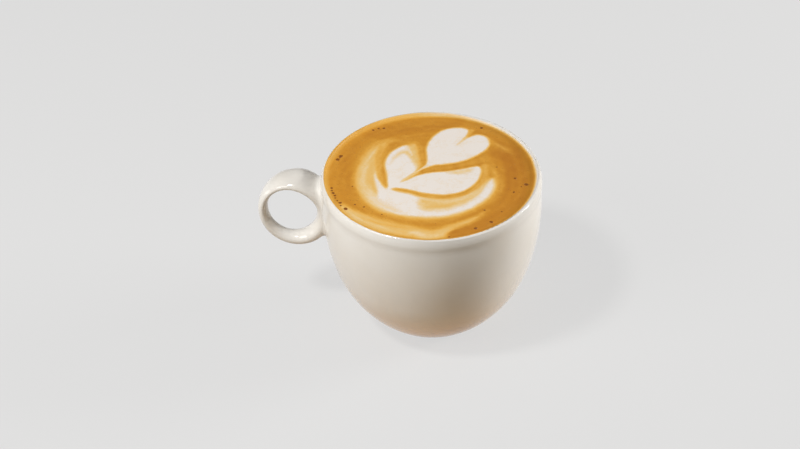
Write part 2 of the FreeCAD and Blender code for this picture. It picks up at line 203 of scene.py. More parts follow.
def insideOf(spots, line):  # a spot is inside if a ray from it crosses the outline an odd number of times
    inside = np.zeros(len(spots), bool)
    for (ax, ay), (bx, by) in zip(line, np.roll(line, -1, axis=0)):
        if ay != by:
            crosses = (ay > spots[:, 1]) != (by > spots[:, 1])
            inside ^= crosses & (spots[:, 0] < (bx - ax) * (spots[:, 1] - ay) / (by - ay) + ax)
    return inside


def amountOf(spots, layer):  # 1 inside a closed outline or on a stroke (x, y, width), easing to 0 over "soft" mm
    closed = "fill" in layer
    line = smoothLine(layer["fill"] if closed else layer["stroke"], closed)
    soft = layer["soft"]
    amount = np.zeros(len(spots))
    margin = soft + (0 if closed else line[:, 2].max())
    close = ((spots > line[:, :2].min(0) - margin) & (spots < line[:, :2].max(0) + margin)).all(1)
    distance, width = nearest(spots[close], line, closed)
    if closed:
        amount[close] = ease(0.5 + np.where(insideOf(spots[close], line), distance, -distance) / soft)
    else:
        faint = np.clip(width / (0.6 * soft), 0, 1)  # a stroke much finer than its soft edge
        amount[close] = ease(0.5 + (width / 2 - distance) / soft) * faint
    return amount


def painted(spots, layers, key):  # lays one over the other in order
    value = np.zeros(len(spots))
    for layer in layers:
        value += (layer[key] - value) * amountOf(spots, layer)
    return value


anyTurn = 6.28  # radians, for a random start
pourMiddle = (-1, 1)  # mm


def waves(spots, seed, lengths):  # smooth wandering, about -1 to 1, from crossed waves of these lengths in mm
    draw = np.random.default_rng(seed)
    total = np.zeros(len(spots))
    for length in lengths:
        for _ in range(3):
            way = draw.uniform(0, 2 * np.pi)
            along = spots @ np.array([np.cos(way), np.sin(way)])
            total += np.sin(2 * np.pi / length * along + draw.uniform(0, anyTurn))
    return total / (1.7 * np.sqrt(3 * len(lengths)))


def streaks(spots, seed, lengths):  # drawn out round the pour's middle, as poured milk is
    draw = np.random.default_rng(seed)
    x, y = spots[:, 0] - pourMiddle[0], spots[:, 1] - pourMiddle[1]
    ring, turn = np.hypot(x, y), np.arctan2(y, x)
    total = np.zeros(len(spots))
    for length in lengths:
        bend = sum(draw.uniform(0.5, 1.6) * np.sin(k * turn + draw.uniform(0, anyTurn)) for k in (1, 2, 3, 5))
        strong = 0.6 + 0.4 * np.sin(draw.integers(2, 5) * turn + draw.uniform(0, anyTurn))
        total += strong * np.sin(2 * np.pi * (ring + bend) / length + draw.uniform(0, anyTurn))
    return total / np.sqrt(len(lengths))


# the poured figure, in mm from the cup's axis; milk is 0 in crema, about 0.5 pale gold, 1 white foam
milkLayers = [
    # halo round the left and the base
    {"milk": 0.5, "soft": 5.6, "fill": [
        (-18.5, 21.8), (-23.5, 18.6), (-26.6, 13), (-28.2, 6), (-28.6, -1), (-28, -7), (-26.2, -12),
        (-23.8, -16.8), (-20.5, -21), (-16, -24.2), (-10, -26.4), (-4, -27.3), (2, -27.1), (8, -25.7), (14, -22.8),
        (19, -18.5), (22.3, -13.9), (24.6, -8.5), (25.2, -4), (24.2, -0.4), (22.3, -2.6), (20.6, -8), (17, -13),
        (11, -14), (4, -15), (-3, -14.5), (-9, -12.5), (-15, -11.5), (-18, -7), (-19.6, 0), (-20.2, 6), (-20, 12),
        (-18.6, 17.6),
    ]},
    {"milk": 0.68, "soft": 3.6, "stroke": [
        (-19.5, 19.5, 0.8), (-22.8, 14, 2.2), (-25, 7, 3.2), (-25.8, 0, 3.6), (-25.4, -6, 3.6), (-23.6, -12, 3.8),
        (-20.3, -17, 4.4), (-16, -20.5, 5),
    ]},
    {"milk": 0.5, "soft": 2.8, "stroke": [
        (-21.8, 12, 1.2), (-22.6, 7, 2.2), (-22.8, 2, 2.0), (-22.7, -3, 1.8), (-21.9, -8, 1.2),
        (-20.3, -11.5, 0.5),
    ]},
    {"milk": 0.95, "soft": 1.7, "stroke": [
        (-21.4, 2.6, 0.4), (-21.1, -1.5, 1.2), (-20, -5.2, 2.2), (-18.4, -9, 3.2), (-16.5, -12.5, 4.4),
    ]},
    # white base
    {"milk": 1.0, "soft": 2.6, "fill": [
        (-18.2, -9.4), (-16.2, -8.6), (-14.6, -9), (-11, -10.6), (-7, -11.8), (-3.5, -13.4), (2, -14.8),
        (8, -14.6), (13, -12.4), (17, -8.8), (20, -4.8), (22, -2), (23.3, -1), (24.1, -4), (23.7, -8.5),
        (21.6, -13.4), (18.3, -17.7), (13.6, -21.7), (8, -24.4), (2, -25.7), (-4, -25.8), (-10, -24.8),
        (-14.6, -22.6), (-18, -19.4), (-20, -16), (-19.8, -12.8),
    ]},
    {"milk": 0.84, "soft": 4.2, "stroke": [
        (-22.4, -8, 0.8), (-21.6, -13, 2.6), (-18.4, -18.4, 3.6), (-13, -22, 3), (-8, -24, 1.4),
    ]},
    # golden streaks within the base
    {"milk": 0.6, "soft": 4.4, "fill": [
        (-3.2, -14.4), (0, -14.6), (5, -14.8), (10, -13.8), (14, -11.8), (17, -8.8), (19.2, -4.8), (20.6, -0.6),
        (21.2, -3), (19.6, -8), (17.4, -12.6), (14, -16.4), (9.2, -19.6), (4, -21.4), (-1, -21.4), (-3.4, -18.6),
    ]},
    {"milk": 0.52, "soft": 2.2, "stroke": [(-1, -17.4, 0.8), (3, -18.7, 1.6), (7, -18.3, 1.4), (10.5, -16.4, 0.5)]},
    {"milk": 0.7, "soft": 1.6, "stroke": [
        (1, -15.9, 0.5), (6, -16.3, 1.2), (11, -14.9, 1.2), (14.6, -12, 1.2), (17.4, -8.4, 0.6),
    ]},
    {"milk": 0.62, "soft": 1.0, "stroke": [(12, -17, 0.4), (15.5, -14, 0.7), (18.5, -9.8, 0.7), (20.6, -5, 0.4)]},
    # left leaf
    {"milk": 1.0, "soft": 1.8, "fill": [
        (-15.6, -10), (-16.1, -6.4), (-16.8, -2), (-17.4, 2), (-18.2, 6), (-18.1, 9), (-17.4, 12), (-16, 14.9),
        (-14, 17.2), (-12, 18.9), (-10.4, 19.4), (-9, 18.2), (-8.2, 15), (-7.2, 11.5), (-6, 8), (-5.2, 5.6),
        (-5.6, 3.4), (-7, 0.8), (-9.5, -2.4), (-12, -6),
    ]},
    {"milk": 0.52, "soft": 3.8, "fill": [
        (-9.9, 18.4), (-8.8, 21), (-6.6, 20.4), (-5.4, 16), (-4.6, 11), (-4, 6.6), (-5, 4.4), (-6, 7),
        (-7.2, 10.4), (-8.7, 14),
    ]},
    {"milk": 0.6, "soft": 2.6, "stroke": [
        (-15.9, 6.4, 0.2), (-15.3, 9.4, 0.8), (-14.1, 12, 1.1), (-12.5, 14.1, 1.3), (-10.9, 14.6, 1.5),
        (-9.4, 13.5, 1.6), (-8, 11.2, 1.4), (-6.8, 8.2, 1.2), (-6, 5, 0.6),
    ]},
    {"milk": 0.86, "soft": 1.0, "stroke": [
        (-12.4, 15.6, 0.4), (-10.6, 16.8, 0.9), (-9.2, 15.6, 0.9), (-8, 12.8, 0.7),
    ]},
    {"milk": 0.66, "soft": 1.6, "stroke": [(-9, 18, 0.6), (-7.7, 15, 1), (-6.6, 11, 0.9), (-5.6, 7.4, 0.4)]},
    # right leaf
    {"milk": 1.0, "soft": 1.7, "fill": [
        (-15.5, -8.4), (-12.5, -8.5), (-10, -8.8), (-7, -9.7), (-4, -10.7), (-1, -11.4), (3, -11.9), (6.5, -11.8),
        (10, -10.8), (13, -8.9), (15.5, -6.4), (17.4, -3.1), (18.6, 0.4), (19, 3.6), (18.5, 6), (17.2, 6.8),
        (15.2, 6.2), (12, 4.8), (8.5, 3.7), (4.5, 2.8), (0.5, 2.1), (-3, 1.1), (-6, -0.6), (-8.5, -2.5),
        (-11, -4.3), (-14, -6),
    ]},
    {"milk": 0.76, "soft": 2.8, "fill": [
        (5.5, 2.3), (9, 3.2), (13, 4.8), (15.6, 5.4), (14.8, 3.2), (11, 1.6), (7.5, 1.2),
    ]},
    # heart
    {"milk": 1.0, "soft": 1.8, "fill": [
        (-3, 5), (-2.3, 8.4), (-2.5, 12), (-2.9, 15), (-3, 18), (-2.5, 21), (-1.5, 24), (0, 26.8), (2.1, 29.2),
        (5, 31.1), (8.4, 31.9), (11, 31.5), (12.7, 30.4), (13, 28.6), (12.3, 26.4), (13, 25.6), (14.2, 26.6),
        (16, 27.4), (18, 27.1), (19.8, 26), (20.9, 24.2), (21.3, 22), (21, 19.8), (19.9, 17.4), (18, 15),
        (15.8, 12.8), (13.4, 11), (10.6, 9.3), (7.6, 8.1), (4.4, 7.3), (1.2, 6.7), (-1.2, 5.6),
    ]},
    {"milk": 0.3, "soft": 1.5, "stroke": [(14, 30, 2), (13.3, 28, 1.4), (12.4, 26, 1.1), (11.3, 24.2, 0.8)]},
    {"milk": 0.72, "soft": 1.1, "stroke": [
        (11.9, 25.2, 0.7), (10.6, 23.2, 0.8), (9.4, 21.4, 0.6), (8.2, 19.6, 0.3),
    ]},
    # stem
    {"milk": 0.85, "soft": 1.0, "stroke": [(-2, 6.2, 1.8), (-3.6, 4.4, 1.1), (-5, 2.9, 0.8), (-6.5, 1.5, 0.5)]},
    {"milk": 0.68, "soft": 1.3, "stroke": [
        (-5, 1.8, 0.7), (-7, 0.1, 1.1), (-8.8, -1.7, 1.0), (-10.6, -3.7, 0.6), (-11.5, -5, 0.2),
    ]},
    # crema lines between the leaves
    {"milk": 0.3, "soft": 2.3, "stroke": [
        (-14.4, -9.2, 0.2), (-12.9, -9.5, 0.5), (-11, -9.6, 0.7), (-8.5, -10, 0.7), (-5.8, -10.9, 0.8),
        (-2.8, -12.1, 1.0), (0.4, -12.9, 1.2), (4, -13.2, 1.1), (8, -12.8, 0.9), (11, -11.9, 0.9),
        (14, -10.1, 1.0), (16.6, -7.4, 1.3), (18.6, -4.2, 1.6), (19.9, -0.6, 2.0), (20.3, 3, 2.4), (20.1, 7, 3),
    ]},
    {"milk": 0.28, "soft": 2.1, "stroke": [
        (-20.4, 18, 1.4), (-20.9, 14, 2), (-20.9, 10, 2.2), (-20.4, 6, 1.9), (-19.8, 2, 1.6), (-19.1, -1.5, 1.3),
        (-18.2, -4.4, 1.1), (-17.4, -6.8, 0.8), (-16.6, -9, 0.2),
    ]},
    {"milk": 0.12, "soft": 1.8, "stroke": [
        (-4.3, 1.9, 0.8), (-2, 3.3, 1.7), (0, 4.1, 2.1), (4, 5, 2.1), (8, 6.1, 1.9), (12, 7.8, 2), (16, 9.6, 2.8),
        (20, 11.5, 4),
    ]},
    {"milk": 0.16, "soft": 1.8, "stroke": [
        (-10, 21.4, 0.8), (-7, 20.8, 1.4), (-5.3, 18.5, 1.8), (-4.6, 15, 1.9), (-3.9, 10.5, 1.6), (-3.4, 7.2, 1.0),
        (-4.1, 5.2, 0.4),
    ]},
    # wisps of milk in the crema
    {"milk": 0.26, "soft": 3.4, "stroke": [
        (21.6, 8, 0.8), (23.6, 3.5, 2), (25.8, -1, 1.6), (26.6, -6, 1.4), (25.8, -11, 1), (23.8, -15, 0.6),
    ]},
    {"milk": 0.3, "soft": 3.2, "stroke": [
        (20.6, 25.6, 0.6), (22.6, 22.6, 1.6), (25, 20.4, 2), (27.6, 18, 1.8), (30, 15, 0.8),
    ]},
    {"milk": 0.27, "soft": 4.2, "stroke": [
        (-25.5, 15, 1), (-23, 19, 2), (-19, 21.4, 2.4), (-14.5, 22, 2), (-10, 22, 1.2),
    ]},
    {"milk": 0.14, "soft": 2.6, "stroke": [(-6.2, 24.4, 0.5), (-4.6, 27.8, 1.1), (-2, 31, 1.1), (2.5, 33.8, 0.6)]},
    # light crema at the front
    {"milk": 0.52, "soft": 4.2, "stroke": [
        (-32.6, -20, 2), (-28.9, -24.4, 5), (-23.7, -28.4, 6.8), (-17.6, -31.2, 7.2), (-11, -33.6, 7),
        (-4, -35.2, 6.4), (1.5, -36.2, 5.6), (6, -36.4, 3.4),
    ]},
    {"milk": 0.74, "soft": 2.8, "stroke": [
        (-6.4, -36.6, 1), (-4.4, -35.2, 2.4), (-1, -36.8, 3), (3, -36.6, 3), (7, -34.4, 1.6), (9, -32, 0.6),
    ]},
    {"milk": 0.7, "soft": 3.2, "stroke": [
        (-29.8, -22, 0.6), (-27.4, -25.2, 1.6), (-23.6, -28.6, 1.8), (-19, -31.4, 1.8), (-14, -33.6, 1.2),
        (-10, -34.6, 0.6),
    ]},
    {"milk": 0.5, "soft": 3.2, "stroke": [
        (1, -36, 1.2), (6, -33.6, 3), (11, -30.6, 3), (15, -27.8, 2.6), (18.4, -24.8, 1.6), (21.6, -21, 0.8),
    ]},
    {"milk": 0.24, "soft": 1.8, "stroke": [
        (-26, -26, 0.4), (-19.4, -29.6, 0.8), (-11, -32, 0.9), (-3, -32.6, 0.5),
    ]},
]

# the crema's own colour: below 0 browner, above 0 more golden
cremaLayers = [
    {"tone": -0.45, "soft": 6, "fill": [
        (24, 22), (32, 20), (38, 8), (38, -10), (33, -22), (22, -33), (11, -38), (10, -33), (17, -27), (24, -18),
        (27, -8), (27, 4), (24, 14),
    ]},
    {"tone": -0.2, "soft": 6, "stroke": [(-30.5, 16, 4), (-33, 6, 5), (-33, -5, 4.4), (-30.5, -14, 3)]},
    {"tone": -0.35, "soft": 6, "stroke": [(-25, 26, 5), (-14, 29, 7), (-2, 31.5, 5), (8, 35, 4)]},
    {"tone": 0.12, "soft": 2.6, "stroke": [
        (-19, -26, 1.6), (-8, -29.8, 2.8), (0, -30.4, 3), (8, -29, 2.4), (15, -25.6, 1.4),
    ]},
    {"tone": -0.5, "soft": 1.8, "fill": [
        (8.6, -39.4), (9.4, -34), (12, -32), (18, -30), (24, -28), (25, -30), (18, -36),
    ]},
    {"tone": -0.75, "soft": 5, "stroke": [(24.5, 16, 3), (29, 12, 5), (31, 5, 4), (30, -6, 2)]},
]

# how the pour strays from the figure: strength, seed, and the lengths of its waves in mm
pour = {
    "shakeAcross": (0.1, 11, (5, 8)),  # mm, a slight shake of the hand
    "shakeAlong": (0.1, 12, (5, 8)),
    "streaksInMix": (0.05, 21, (1.6, 2.6, 4.2)),
    "streaksInCrema": (0.05, 22, (2.6, 4.3, 7)),
    "cloudsInCrema": (0.03, 23, (3, 7)),
    "toneStreaks": (0.16, 31, (3.1, 5.2, 8)),
    "toneClouds": (0.1, 32, (4, 9)),
}


def strays(name, pattern, spots):
    strength, seed, lengths = pour[name]
    return strength * pattern(spots, seed, lengths)


def paintMilk(spots):
    shaken = spots + np.stack([strays("shakeAcross", waves, spots), strays("shakeAlong", waves, spots)], 1)
    milk = painted(shaken, milkLayers, "milk")
    mixed = 4 * milk * (1 - milk)
    unmixed = 1 - ease(milk * 3)  # crema with next to no milk in it
    inMix = mixed * strays("streaksInMix", streaks, shaken)
    return milk + inMix + unmixed * (strays("streaksInCrema", streaks, shaken) + strays("cloudsInCrema", waves, spots))


def paintTone(spots):
    tone = painted(spots, cremaLayers, "tone") + strays("toneStreaks", streaks, spots)
    return tone + strays("toneClouds", waves, spots)


# Milk poured through crema: matt microfoam, gold where the two mix, a fine pored skin with a few burst bubbles.
brew = {
    "ramp": [
        (0.0, "cf9033"), (0.2, "dea444"), (0.4, "e8b75f"), (0.6, "e8c37d"), (0.78, "ecd2a3"), (0.9, "eadbc6"),
        (1.0, "ede7e1"),
    ],
    "browner": "b6742a",  # the crema where its tone is -1
    "golder": "d3a44e",  # and where it is 1
    "fades": (0.05, 0.4),  # how much milk it takes to lose the crema's tone and pores
    "drift": 5.0,  # mm
    "stirred": 0.05,  # how far the drift moves the milk's amount, either way
    "grain": 0.55,  # mm
    "speckle": 0.045,
    "noiseSpan": (0.3, 0.7),  # between which nearly all of the noise lies
    "pore": 0.8,  # mm, about three times the real size, to show
    "poreSpan": (0.08, 0.3),  # from the bottom of a pore to its edge
    "poreShade": 0.9,  # how light a pore's bottom stays
    "poreDepth": 0.2,  # mm
    "poreShown": 0.2,
    "rough": (0.34, 0.5),
    "refraction": 1.34,
}
crema, tree = newMaterial("crema and steamed milk, poured")
place = addNode(tree, "ShaderNodeTexCoord").outputs["Object"]
grain = addNode(tree, "ShaderNodeTexNoise", None, {
    "Vector": place, "Scale": 1000 / brew["grain"], "Detail": 3.0,
}).outputs["Fac"]
drift = addNode(tree, "ShaderNodeTexNoise", None, {
    "Vector": place, "Scale": 1000 / brew["drift"], "Detail": 4.0, "Distortion": 1.2,
}).outputs["Fac"]
milk = addNode(tree, "ShaderNodeAttribute", {"attribute_name": "milk"}).outputs["Fac"]
tone = addNode(tree, "ShaderNodeAttribute", {"attribute_name": "tone"}).outputs["Fac"]
for noise, most in ((drift, brew["stirred"]), (grain, brew["speckle"])):
    low, high = brew["noiseSpan"]
    shift = addNode(tree, "ShaderNodeMapRange", None, {
        "Value": noise, "From Min": low, "From Max": high, "To Min": -most, "To Max": most,
    }).outputs[0]
    milk = addNode(tree, "ShaderNodeMath", {"operation": "ADD"}, {0: milk, 1: shift}).outputs[0]
mixed = addNode(tree, "ShaderNodeValToRGB", {"stops": brew["ramp"]}, {"Fac": milk}).outputs[0]
low, high = brew["fades"]
onlyCrema = addNode(tree, "ShaderNodeMapRange", None, {
    "Value": milk, "From Min": low, "From Max": high, "To Min": 1.0, "To Max": 0.0,
}).outputs[0]
positive = {"operation": "MULTIPLY", "use_clamp": True}
browner = addNode(tree, "ShaderNodeMath", positive, {0: tone, 1: -1.0}).outputs[0]
browner = addNode(tree, "ShaderNodeMath", {"operation": "MULTIPLY"}, {0: browner, 1: onlyCrema}).outputs[0]
golder = addNode(tree, "ShaderNodeMath", positive, {0: tone, 1: onlyCrema}).outputs[0]
colour = mixed
for amount, other in ((browner, brew["browner"]), (golder, brew["golder"])):
    colour = addNode(tree, "ShaderNodeMix", {"data_type": "RGBA"}, {
        0: amount, 6: colour, 7: linear(other),
    }).outputs[2]
pores = addNode(tree, "ShaderNodeTexVoronoi", None, {
    "Vector": place, "Scale": 1000 / brew["pore"],
}).outputs["Distance"]
low, high = brew["poreSpan"]
pitted = addNode(tree, "ShaderNodeMapRange", None, {
    "Value": pores, "From Min": low, "From Max": high, "To Min": 0.0, "To Max": 1.0,
}).outputs[0]
pitted = addNode(tree, "ShaderNodeMix", None, {0: onlyCrema, 2: 1.0, 3: pitted}).outputs[0]
shade = addNode(tree, "ShaderNodeMapRange", None, {
    "Value": pitted, "To Min": brew["poreShade"], "To Max": 1.0,
}).outputs[0]
darken = {"data_type": "RGBA", "blend_type": "MULTIPLY"}
colour = addNode(tree, "ShaderNodeMix", darken, {0: 1.0, 6: colour, 7: shade}).outputs[2]
bump = addNode(tree, "ShaderNodeBump", None, {
    "Strength": brew["poreShown"], "Distance": brew["poreDepth"] * mm, "Height": pitted,
}).outputs[0]
rough = addNode(tree, "ShaderNodeMapRange", None, {
    "Value": grain, "To Min": brew["rough"][0], "To Max": brew["rough"][1],
}).outputs[0]
skin = addNode(tree, "ShaderNodeBsdfPrincipled", None, {
    "Base Color": colour, "Roughness": rough, "IOR": brew["refraction"], "Normal": bump,
}).outputs[0]
addNode(tree, "ShaderNodeOutputMaterial", None, {"Surface": skin})
print("crema done")

# The drink is one closed piece in place of the CAD fill: a fine flat top, the climb at the wall, and the bowl's
# shape underneath. At the handle's side and at the front the crema has wetted the lip's inner edge.
cupHigh = [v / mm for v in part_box("cup")[1]]
fillLow, fillHigh = [[v / mm for v in corner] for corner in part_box("coffee")]
solid = np.array([v.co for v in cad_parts["coffee"].data.vertices]) / mm
solidRadius = np.hypot(solid[:, 0], solid[:, 1])
clearOfWall = (solid[:, 2] > fillHigh[2] - 2) & (solidRadius < 38.5)
drink = {  # sizes in mm
    "cells": 220,  # across the flat top, about 0.35 mm each
    "flat": 37.9,  # radius
    "wall": fillHigh[0],
    "rings": [0.1, 0.22, 0.34, 0.46, 0.56, 0.65, 0.73, 0.8, 0.87, 0.93, 0.97, 1.0],  # from the flat to the edge
    "level": solid[clearOfWall, 2].max(),
    "climbCurve": 2.3,  # a higher power keeps the climb closer to the wall
    "wetClimb": 0.2,  # more climb where the wall is wet
    "lipRound": 0.8,
    "crest": cupHigh[1] - 1.4,  # radius of the lip's top
    "creep": 1.0,  # how far the crema climbs over the lip's inner edge where it is wettest
    "creepStrays": 0.12,  # how far the edge strays where it is wet
    "dryStrays": 0.24,  # and where it is dry
    "film": 0.1,  # its thickness on the lip
    "filmEnd": 0.012,  # and at its edge
    "filmCurve": 4,
    "relief": 0.07,  # milk stands this much above the crema
    "reliefEnds": (37, 2),  # radius, and the width over which it fades
    "under": (63.6, 60, 52, 42, 32, 22, 14, 9, 6.4, 5.8),  # heights of the rings that follow the bowl's inside
    "underGap": 0.04,  # between them and the bowl
}
wetness = [  # degrees round the cup, amount
    (0, 0.03), (30, 0), (62, 0.15), (84, 0.45), (104, 0.9), (135, 1), (180, 1), (225, 0.95), (270, 1), (292, 0.85),
    (312, 0.4), (330, 0.1), (350, 0.03), (360, 0.03),
]


def wetAt(angle):
    return np.interp(np.degrees(angle) % 360, [w[0] for w in wetness], [w[1] for w in wetness])


def wander(angle, seed, counts):  # a smooth closed wander round the cup, about -1 to 1
    draw = np.random.default_rng(seed)
    return sum(np.sin(k * angle + draw.uniform(0, anyTurn)) * draw.uniform(0.4, 1) / math.sqrt(k) for k in counts)


def topHeight(radius, wet, edge):
    climb = np.clip((radius - drink["flat"]) / (drink["wall"] - drink["flat"]), 0, 1)
    most = fillHigh[2] - drink["level"] + drink["wetClimb"] * np.clip(2 * wet, 0, 1)
    height = drink["level"] + most * climb ** drink["climbCurve"]
    over = np.clip(drink["lipRound"] ** 2 - (drink["crest"] - radius) ** 2, 0, None)
    lip = cupHigh[2] - drink["lipRound"] + np.sqrt(over)
    out = np.clip((radius - drink["wall"]) / np.maximum(edge - drink["wall"], 0.05), 0, 1)
    thinFilmAndFootReflection = drink["filmEnd"] + drink["film"] * (1 - out ** drink["filmCurve"])
    onLip = np.minimum(np.maximum(height, lip + thinFilmAndFootReflection), cupHigh[2])
    return np.where(radius > drink["wall"] + 0.02, onLip, height)


def cell(i, j):  # number of a corner in the flat top's grid
    return i * (n + 1) + j


def ringAt(radius, height):
    return np.stack([radius * np.cos(around), radius * np.sin(around), height], 1)


# the flat top is a square grid drawn out to a disc
n = drink["cells"]
a, b = np.meshgrid(np.linspace(-1, 1, n + 1), np.linspace(-1, 1, n + 1), indexing="ij")
wide = np.abs(a) > np.abs(b)
reach = np.where(wide, a, b)
with np.errstate(divide="ignore", invalid="ignore"):
    turn = np.where(wide, math.pi / 4 * b / a, math.pi / 2 - math.pi / 4 * a / b)
turn = np.nan_to_num(turn)
top = [drink["flat"] * reach * np.cos(turn), drink["flat"] * reach * np.sin(turn), np.full(a.shape, drink["level"])]
top = np.stack([part.ravel() for part in top], 1)
faces = [(cell(i, j), cell(i + 1, j), cell(i + 1, j + 1), cell(i, j + 1)) for i in range(n) for j in range(n)]
border = [cell(i, 0) for i in range(n)] + [cell(n, j) for j in range(n)]
border += [cell(i, n) for i in range(n, 0, -1)] + [cell(0, j) for j in range(n, 0, -1)]
around = np.arctan2(top[border, 1], top[border, 0])

wet = wetAt(around)
edge = drink["wall"] + wet * (drink["creep"] + drink["creepStrays"] * wander(around, 4, (5, 9, 14, 23, 37)))
edge += drink["dryStrays"] * (1 - wet) * np.clip(wander(around, 6, (11, 17, 26, 41)), 0, None)
ringsOut = []
for step in drink["rings"]:
    radius = drink["flat"] + (edge - drink["flat"]) * step
    ringsOut.append(ringAt(radius, topHeight(radius, wet, edge)))
under = (edge + drink["wall"]) / 2 - 0.01  # tucked back under the film
ringsOut.append(ringAt(under, topHeight(under, wet, edge) - drink["film"] - 0.01))
heights = np.unique(np.round(solid[:, 2], 2))
profile = np.array([solidRadius[np.abs(solid[:, 2] - h) < 0.02].max() for h in heights])
for h in drink["under"]:
    ringsOut.append(ringAt(np.interp(h, heights, profile) - drink["underGap"], np.full(len(around), h)))
spots = np.vstack([top] + ringsOut + [[[0, 0, fillLow[2] + 0.05]]])
count = len(border)
loops = [border] + [list(range(len(top) + k * count, len(top) + (k + 1) * count)) for k in range(len(ringsOut))]
for inner, outer in zip(loops, loops[1:]):
    faces += [(inner[k], outer[k], outer[(k + 1) % count], inner[(k + 1) % count]) for k in range(count)]
faces += [(loops[-1][k], len(spots) - 1, loops[-1][(k + 1) % count]) for k in range(count)]

# the crema goes paler where it thins out at the lip, most of all at the back, and yellower in the film
rim = {  # each zone starts at this radius and takes this width to come in, in mm
    "pale": (38.2, 1.8),
    "paleDry": 0.06,
    "paleWet": 0.12,
    "back": (37.6, 2.0),
    "backMilk": 0.36,
    "backMiddle": 1.5,  # radians round the cup
    "backWidth": 0.75,
    "strays": 0.25,  # how unevenly both run round the cup
    "film": (0.1, 0.8),  # beyond the wall
    "filmMilk": 0.12,
    "filmBackMilk": 0.3,
    "dry": (38.7, 1.1),  # where no film climbs the lip
    "dryMilk": 0.75,
    "yellow": (38.6, 1.2),
    "yellowTone": 0.9,
}


def outOver(radius, zone):  # 0 up to where the zone starts, 1 beyond its width
    return ease((radius - zone[0]) / zone[1])


seen = len(top) + (len(drink["rings"]) + 1) * count
radius = np.hypot(spots[:, 0], spots[:, 1])
milkAmount, toneAmount = np.zeros(len(spots)), np.zeros(len(spots))
milkAmount[:seen] = paintMilk(spots[:seen, :2])
toneAmount[:seen] = paintTone(spots[:seen, :2])
turned = np.arctan2(spots[:, 1], spots[:, 0])
wetHere = wetAt(turned)
backward = np.exp(-(((turned - rim["backMiddle"]) / rim["backWidth"]) ** 2))
thinCremaAndPaintedReflection = outOver(radius, rim["pale"]) * (rim["paleDry"] + rim["paleWet"] * wetHere)
thinCremaAndPaintedReflection += outOver(radius, rim["back"]) * rim["backMilk"] * backward
thinCremaAndPaintedReflection *= 1 + rim["strays"] * wander(turned, 7, (3, 5, 8, 13))
inFilm = outOver(radius - drink["wall"], rim["film"]) * (rim["filmMilk"] + rim["filmBackMilk"] * backward) * wetHere
thinCremaAndPaintedReflection += inFilm + outOver(radius, rim["dry"]) * rim["dryMilk"] * (1 - wetHere) ** 2
milkAmount[:seen] = np.maximum(milkAmount[:seen], thinCremaAndPaintedReflection[:seen])
toneAmount[:seen] += (rim["yellowTone"] * outOver(radius, rim["yellow"]) * wetHere)[:seen]
flat = slice(len(top))
fade = ease((drink["reliefEnds"][0] - radius[flat]) / drink["reliefEnds"][1])
spots[flat, 2] += drink["relief"] * ease(milkAmount[flat] * 1.2) * fade  # full before the milk is quite white

mesh = bpy.data.meshes.new("drink")
mesh.from_pydata((spots * mm).tolist(), [], faces)
giveValues(mesh, milk=milkAmount, tone=toneAmount)
drinkPiece = newPiece("drink", mesh, crema)
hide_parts("coffee")
print("drink done:", len(faces), "faces")


# Burst bubbles: small round dishes of wet dark coffee in the crema, a few big ones near the lip and many fine ones.
bubbles = {  # sizes in mm
    "sides": 10,
    "stacks": 5,
    "flat": 0.25,  # height over width
    "oval": 0.9,
    "sunk": 0.3,  # how far the middle is under the crema, in half heights
    "bigFactor": 1.45,  # on the sizes of the big ones
    "fine": 320,
    "fineSmall": 0.09,  # the fine ones are drawn coarse, to show
    "fineLarge": 0.2,
    "fineDepth": 0.55,
    "fineTries": 4000,
    "fineWithin": (39, 37.4),  # half side of the square that is tried, and the radius that is kept
    "fineInMiddle": 0.15,
    "fineCrowd": (24, 14),  # they come closer together from this radius, over this width
    "fineMilk": 0.2,  # none where there is more milk
    "climbRun": 1.9,  # those nearest the wall ride up with the crema
    "stops": [(0.0, "b98036"), (0.45, "a2692a"), (1.0, "895422")],
    "rough": 0.4,
    "refraction": 1.34,
    "seed": 8,
}
bigBubbles = [  # x, y, radius in mm
    (-35.3, 11, 0.62), (-36.3, 8.8, 0.6), (-35.6, 10, 0.3), (-37, -9.5, 0.42), (-36.8, -11, 0.36), (-36.1, -12.6, 0.5),
    (-35.3, -14.1, 0.42), (-35, -15.6, 0.3), (-34.1, -17.2, 0.3), (-32.9, -18.5, 0.52), (-32.6, -20.2, 0.34),
    (-30.5, -22.1, 0.62), (-27.3, -19.3, 0.3), (-23.8, -20.6, 0.3), (-29.2, -8, 0.26), (-16.8, -24.8, 0.24),
    (36, -4, 0.62), (31.7, -0.3, 0.42), (31.5, -9, 0.36), (34.2, -5.4, 0.22), (23.8, -27.6, 0.52), (18.2, -31.7, 0.5),
    (21, -20.5, 0.32), (8.8, -37.3, 0.3), (17.7, 32, 0.46), (-24.3, 28.8, 0.4), (-22.3, 30, 0.34), (-20.2, 30.2, 0.42),
    (24.6, 6.6, 0.24), (27.4, -21.2, 0.26), (-33.4, 22, 0.26),
]
wetBrown, tree = newMaterial("burst bubble, wet coffee")
depth = addNode(tree, "ShaderNodeAttribute", {"attribute_name": "depth"}).outputs["Fac"]
colour = addNode(tree, "ShaderNodeValToRGB", {"stops": bubbles["stops"]}, {"Fac": depth}).outputs[0]
skin = addNode(tree, "ShaderNodeBsdfPrincipled", None, {
    "Base Color": colour, "Roughness": bubbles["rough"], "IOR": bubbles["refraction"],
}).outputs[0]
addNode(tree, "ShaderNodeOutputMaterial", None, {"Surface": skin})

